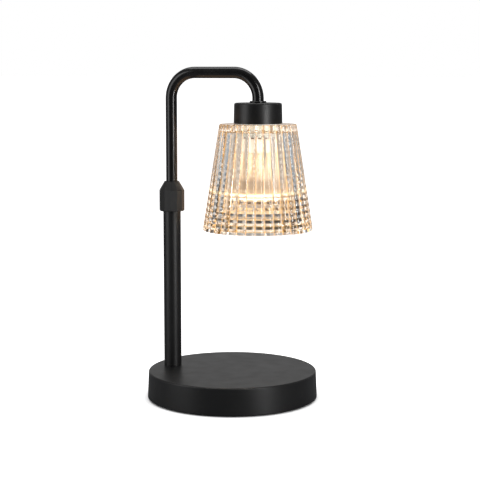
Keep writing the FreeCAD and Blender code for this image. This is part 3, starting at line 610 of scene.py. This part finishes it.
neck_low, neck_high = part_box("bulb_neck")
# Painted shade: the top of the neck turns brown and stops glowing where it goes into the lampholder.
gap_edge = (neck_high.z - 1.5 * MM, neck_high.z - 0.9 * MM)
gap_shade_brown = (0.16, 0.06, 0.015)
lit_ceramic, tree, shader = new_finish("lit_ceramic", ceramic_pale, 0.5)
neck_glow = height_share(tree, neck_low.z, neck_high.z, 0.50, 0.30)
below_gap_shade = height_share(tree, *gap_edge, 1.0, 0.0)
tree.links.new(math_node(tree, "MULTIPLY", neck_glow, below_gap_shade), shader.inputs["Emission Strength"])
tint(tree, shader, below_gap_shade, gap_shade_brown, ceramic_pale)
tint(tree, shader, noise(tree, 3.0, 3), (1.0, 0.72, 0.42), (1.0, 0.80, 0.54), "Emission Color")
print("bulb finishes:", bulb_glass.name, bulb_core.name, lit_ceramic.name, quartz.name)

# %% Mirror of the bulb
mirror_edge = (reflector_low.z + 14.5 * MM, reflector_low.z + 16.5 * MM)
rim_edge = (reflector_low.z + 3.5 * MM, reflector_low.z + 5.0 * MM)
warm_from = reflector_low.z + 10 * MM
cell_mm = 2.3
cell_disorder = 0.6
cell_light = 0.11
rim_light = 0.90
coat_low = (0.68, 0.61, 0.53)
coat_high = (0.93, 0.85, 0.75)
coat_line = (0.95, 0.86, 0.73)

bulb_mirror, tree, shader = new_finish(
    "bulb_mirror", (1.0, 0.90, 0.78), 0.40, IOR=1.3, Transmission_Weight=0.50)
cells = tree.nodes.new("ShaderNodeTexVoronoi")
cells.inputs["Scale"].default_value = 1 / (cell_mm * MM)
cells.inputs["Randomness"].default_value = cell_disorder
tree.links.new(tree.nodes.new("ShaderNodeTexCoord").outputs["Object"], cells.inputs["Vector"])
from_cell = cells.outputs["Distance"]

bright = height_share(tree, *mirror_edge, 0.0, cell_light)
glow = math_node(tree, "MULTIPLY", bright, spread(tree, from_cell, 0.1, 0.6, 2.2, 0.0))
glow = math_node(tree, "ADD", glow, height_share(tree, *rim_edge, rim_light, 0.0))
tree.links.new(glow, shader.inputs["Emission Strength"])
warmth = height_share(tree, warm_from, reflector_high.z, 0.0, 1.0)
tint(tree, shader, warmth, (1.0, 0.95, 0.88), (1.0, 0.86, 0.64), "Emission Color")

coating = blended_colour(tree, height_share(tree, *mirror_edge, 0.0, 1.0), coat_low, coat_high)
lines = blended_colour(tree, spread(tree, from_cell, 0.15, 0.60, 0.0, 1.0), white, coat_line)
coated = tree.nodes.new("ShaderNodeMix")
coated.data_type = "RGBA"
coated.blend_type = "MULTIPLY"
coated.inputs["Factor"].default_value = 1.0
tree.links.new(coating, coated.inputs["A"])
tree.links.new(lines, coated.inputs["B"])
tree.links.new(coated.outputs["Result"], shader.inputs["Base Color"])
print("mirror nodes:", len(tree.nodes))

# %% [markdown]
# ## The glass shade
#
# The shade is pressed in one go. Its outside is a cone of 36 convex reeds. Its inside is a stack of
# sixteen prismatic rings that deepen downwards, with a plain lip below them. Every reed is a lens that
# squeezes what is behind it sideways, and every ring bends it upwards or downwards, so the look depends on
# true shapes.
#
# It is modelled as one long ribbon: a circle is pressed into reeds at the mouth, extruded up the outside,
# over the top, down the hole, across the ceiling and down the rings, and bridged to its own start at the
# mouth.

# %% Sizes of the shade
mouth_r = (shade_high.x - shade_low.x) / 2
top_r = 33.4 * MM
hole_r = 14.9 * MM
flat_r = hole_r + 4.0 * MM    # the reeds end here, on the flat top
wall = 5.2 * MM               # reed crest to the foot of the rings
ceiling_z = shade_high.z - 7.0 * MM
points_per_reed = 14
reed_depth_share = 0.23       # valley depth over reed width
slope = (mouth_r - top_r) / (shade_high.z - shade_low.z)
print("reed width at the mouth, mm:", round(2 * math.pi * mouth_r / reeds / MM, 2))

# %% Helpers for a ribbon of rings
smooth_angle = math.radians(30)   # an edge that turns more than this stays sharp


def begin_ribbon(name, radius, z, count, axis_x=lamp_axis_x):
    """Adds a circle on an upright axis and opens it for editing, with all its points selected."""
    bpy.ops.object.select_all(action="DESELECT")
    bpy.ops.mesh.primitive_circle_add(vertices=count, radius=radius, location=(axis_x, 0, z))
    piece = bpy.context.object
    piece.name = name
    bpy.ops.object.mode_set(mode="EDIT")
    bpy.context.tool_settings.mesh_select_mode = (True, False, False)
    return piece


def follow(profile, radius, z, axis_x=lamp_axis_x):
    """Extrudes the selected ring from its radius and height along a profile of (radius, z) points."""
    for next_radius, next_z in profile:
        bpy.ops.mesh.extrude_region_move(TRANSFORM_OT_translate={"value": (0, 0, next_z - z)})
        ratio = next_radius / radius
        bpy.ops.transform.resize(value=(ratio, ratio, 1), center_override=(axis_x, 0, next_z))
        radius, z = next_radius, next_z


def finish_piece(piece, sharp_from=smooth_angle):
    """Turns the faces outwards, puts the piece's place into its mesh and smooths all but its sharp lines."""
    bpy.ops.mesh.select_all(action="SELECT")
    bpy.ops.mesh.normals_make_consistent(inside=False)
    bpy.ops.object.mode_set(mode="OBJECT")
    bpy.ops.object.transform_apply(location=True, rotation=True, scale=True)
    bpy.ops.object.shade_smooth_by_angle(angle=sharp_from)
    print(piece.name, "faces:", len(piece.data.polygons))


def close_ribbon(piece, sharp_from=smooth_angle):
    """Bridges the ribbon's two open ends and finishes the piece."""
    bpy.ops.mesh.select_all(action="DESELECT")
    bpy.ops.mesh.select_non_manifold(extend=False, use_wire=False, use_multi_face=False,
                                     use_non_contiguous=False, use_verts=False)
    bpy.ops.mesh.bridge_edge_loops()
    finish_piece(piece, sharp_from)


print("ribbon helpers ready")

# %% Helpers for reeds
def reed_ratio(step, depth_share):
    """Radius over crest radius, step points away from a reed's crest. A reed's section is one arc."""
    half = math.pi / reeds
    valley = 1 - depth_share * 2 * half
    valley_x, valley_y = valley * math.cos(half), valley * math.sin(half)
    centre = (1 - valley_x ** 2 - valley_y ** 2) / (2 * (1 - valley_x))
    angle = half * step / (points_per_reed / 2)
    return centre * math.cos(angle) + math.sqrt((1 - centre) ** 2 - (centre * math.sin(angle)) ** 2)


def press_reeds(piece, z, unpress=False):
    """Resizes the selected round ring at height z into reeds, one family of points at a time, or back."""
    mesh = bmesh.from_edit_mesh(piece.data)
    ring = [vertex for vertex in mesh.verts if vertex.select]
    for step in range(1, points_per_reed // 2 + 1):
        for vertex in ring:
            turn = math.atan2(vertex.co.y, vertex.co.x) / (2 * math.pi) * reeds
            vertex.select_set(round(abs(turn - round(turn)) * points_per_reed) == step)
        mesh.select_flush_mode()
        bmesh.update_edit_mesh(piece.data)
        ratio = reed_ratio(step, reed_depth_share)
        if unpress:
            ratio = 1 / ratio
        bpy.ops.transform.resize(value=(ratio, ratio, 1), center_override=(lamp_axis_x, 0, z))
    for vertex in ring:
        vertex.select_set(True)
    mesh.select_flush_mode()
    bmesh.update_edit_mesh(piece.data)


print("reed valley at", round(reed_ratio(points_per_reed // 2, reed_depth_share), 4), "of its crest")

# %% Outside of the shade
lip = 0.5 * MM
lip_turn = 0.15 * MM          # the point halfway round the lip lies this far in from its corner
edge = 0.9 * MM
edge_turn = 0.3 * edge
mouth_z = shade_low.z
top_z = shade_high.z


def crest_r(z):
    """Radius of the reeds' crests at a height."""
    return top_r + slope * (top_z - z)


shade = begin_ribbon("pressed_glass_shade", mouth_r - lip, mouth_z, reeds * points_per_reed)
press_reeds(shade, mouth_z)
outside = [(mouth_r - lip_turn, mouth_z + lip_turn)]
for z in (mouth_z + lip, mouth_z + 30 * MM, mouth_z + 60 * MM, top_z - edge):
    outside.append((crest_r(z), z))
outside += [(top_r - edge_turn, top_z - edge_turn), (top_r - edge, top_z), (flat_r, top_z)]
follow(outside, mouth_r - lip, mouth_z)
press_reeds(shade, top_z, unpress=True)
inside = [(hole_r + lip, top_z), (hole_r, top_z - lip), (hole_r, ceiling_z + lip), (hole_r + lip, ceiling_z)]
follow(inside, flat_r, top_z)
print("outside and ceiling made")

# %% Rings of the shade
rings = 16
ring_fade = 3                 # power by which the rings get deeper downwards
ring_depth_low = 1.4 * MM
ring_depth_high = 0.08 * MM
lip_h = 2.2 * MM              # plain lip below the rings
fillet = 1.2 * MM
ring_angle = math.radians(22)
# One ring, as shares of its height and of its depth.
ring_profile = ((0.06, 0.12), (0.44, 0.88), (0.50, 0.95), (0.56, 0.88), (0.94, 0.12), (1.0, 0.0))

pitch = (ceiling_z - mouth_z - lip_h) / rings
down = [(crest_r(ceiling_z) - wall - fillet, ceiling_z)]
for ring in range(rings):
    depth = ring_depth_high + (ring_depth_low - ring_depth_high) * (ring / (rings - 1)) ** ring_fade
    for share, rise in ring_profile:
        z = ceiling_z - (ring + share) * pitch
        down.append((crest_r(z) - wall - depth * rise, z))
down.append((crest_r(mouth_z) - wall, mouth_z))
follow(down, hole_r + lip, ceiling_z)
close_ribbon(shade, ring_angle)
print("ring pitch, mm:", round(pitch / MM, 2))

# %% Glass on the shade
inner_share = 0.9             # of the wall: faces deeper than this are the rings'

shade.data.materials.append(shade_glass)
shade.data.materials.append(ringed_glass)
for face in shade.data.polygons:
    reach = math.hypot(face.center.x - lamp_axis_x, face.center.y)
    if face.center.z < ceiling_z and reach < crest_r(face.center.z) - inner_share * wall:
        face.material_index = 1
print("ring faces:", sum(face.material_index for face in shade.data.polygons))
shade.visible_shadow = False
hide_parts("glass_shade")
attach(shade, "arm")

# %% [markdown]
# ## The bulb's reflector
#
# The bulb is a small reflector lamp. Its glass bowl has a plain outside, a thick rim round the front lens,
# and a mirror inside that is pressed into rows of facets so that the filament's image is spread over the
# candle. The bowl is the same kind of ribbon, and its inner faces are inset and raised a little, one by
# one, to make the facets.

# %% Sizes of the bowl
foot_z = lens_high.z
throat_z = neck_low.z
back_z = reflector_high.z
rim_r = (reflector_high.x - reflector_low.x) / 2
seat_r = rim_r - 1.2 * MM     # inside of the rim, where the lens sits
outer_r = rim_r - 1.0 * MM    # where the bowl's outside meets the rim
inner_r = rim_r - 2.2 * MM    # and its inside
back_r = 12.2 * MM
throat_r = 10.65 * MM
rim_round = 0.4 * MM
foot_round = 0.5 * MM
back_drop = 0.6 * MM          # the outer curve ends this far below the back
seat_drop = 0.2 * MM
bowl_points = 72
bowl_rows = 12
outer_fullness = 1.25
inner_fullness = 1.35
bowl_power = 1 / 1.15


def bowl_r(share, low_r, high_r, fullness):
    """Radius of a bowl's curve, from its rim at share 0 to its back at share 1."""
    return high_r + (low_r - high_r) * (1 - share ** fullness) ** bowl_power


print("bowl, mm:", round(2 * rim_r / MM, 1), "across and", round((back_z - reflector_low.z) / MM, 1), "high")

# %% Bowl
outer_top = back_z - back_drop
bowl = begin_ribbon("bulb_reflector_bowl", seat_r, reflector_low.z, bowl_points)
profile = [(rim_r - rim_round, reflector_low.z), (rim_r, reflector_low.z + rim_round)]
profile += [(rim_r, foot_z - foot_round), (rim_r - foot_round, foot_z)]
for step in range(1, bowl_rows + 1):
    share = step / bowl_rows
    profile.append((bowl_r(share, outer_r, back_r, outer_fullness), foot_z + (outer_top - foot_z) * share))
profile += [(back_r - rim_round, back_z), (throat_r, back_z), (throat_r, throat_z)]
for step in range(1, bowl_rows):
    share = 1 - step / bowl_rows
    profile.append((bowl_r(share, inner_r, throat_r, inner_fullness), foot_z + (throat_z - foot_z) * share))
profile += [(inner_r, foot_z), (seat_r, foot_z - seat_drop)]
follow(profile, seat_r, reflector_low.z)
close_ribbon(bowl)

# %% Facets of the mirror
facet_gap = 0.2 * MM
facet_rise = 0.15 * MM

bpy.ops.object.mode_set(mode="EDIT")
bpy.context.tool_settings.mesh_select_mode = (False, False, True)
bpy.ops.mesh.select_all(action="DESELECT")
mesh = bmesh.from_edit_mesh(bowl.data)
for face in mesh.faces:
    middle = face.calc_center_median()
    inward = face.normal.x * (middle.x - lamp_axis_x) + face.normal.y * middle.y < 0
    face.select_set(inward and foot_z < middle.z < throat_z)
bmesh.update_edit_mesh(bowl.data)
bpy.ops.mesh.inset(thickness=facet_gap, depth=facet_rise, use_individual=True)
bpy.ops.object.mode_set(mode="OBJECT")
bpy.ops.object.shade_smooth_by_angle(angle=smooth_angle)
print(bowl.name, "faces with facets:", len(bowl.data.polygons))
bowl.data.materials.append(bulb_mirror)
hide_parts("bulb_reflector")
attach(bowl, "bulb")

# %% [markdown]
# ## The flex in the pole
#
# The lamp's own flex hangs in the pole, between the stud at the pole's foot and the arm. It has slack that
# gathers when the arm goes down and straightens when the arm goes up. Its foot has to stay with the base
# and its top with the arm's bush, so it can't simply ride on either. It is modelled as a disc that is
# extruded up in three steps, which leaves all its points close to its two ends.

# %% The flex in the pole
flex_low, flex_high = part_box("flex_in_pole")
pole_x = round((flex_low.x + flex_high.x) / 2, 4)
flex_r = (flex_high.y - flex_low.y) / 2
flex_edge = 0.3 * MM
flex_points = 32

flex = begin_ribbon("flex_slack", flex_r - flex_edge, flex_low.z, flex_points, pole_x)
bpy.ops.mesh.edge_face_add()
profile = [(flex_r, flex_low.z + flex_edge), (flex_r, flex_high.z - flex_edge)]
profile += [(flex_r - flex_edge, flex_high.z)]
follow(profile, flex_r - flex_edge, flex_low.z, pole_x)
finish_piece(flex)
flex.data.materials.append(flex_jacket)
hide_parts("flex_in_pole")
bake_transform(flex)
print("flex from", round(flex_low.z, 4), "to", round(flex_high.z, 4))

# %% [markdown]
# ## Finishes on the CAD nodes
#
# The CAD's record names a finish for each node, and the node gets the material of that name. Five nodes
# then get a finish of their own: the lit neck and capsule of the bulb, and the satin coat.

# %% Finishes on the CAD nodes
finishes = {
    "black_paint": black_paint, "plate_paint": plate_paint, "iron": iron, "zinc_steel": zinc_steel,
    "foot_foam": foot_foam, "black_rubber": black_rubber, "silicone": silicone,
    "terminal_nylon": terminal_nylon, "flex_jacket": flex_jacket, "brass": brass,
    "natural_nylon": natural_nylon, "black_nylon": black_nylon, "holder_resin": holder_resin,
    "ceramic": ceramic, "shade_glass": shade_glass, "bulb_mirror": bulb_mirror, "bulb_glass": bulb_glass,
    "quartz": quartz, "pin_metal": pin_metal, "tungsten": tungsten,
}
for row in frame["record"]["subparts"]:
    node = cad_nodes[row["node"]]
    node.data.materials.clear()
    node.data.materials.append(finishes[row["material_slot"]])
own_finishes = (("bulb_neck", lit_ceramic), ("bulb_capsule", bulb_core), ("socket_cap", satin_paint),
                ("base_shell", satin_paint), ("lower_tube", satin_paint))
for name, finish in own_finishes:
    cad_nodes[name].data.materials[0] = finish
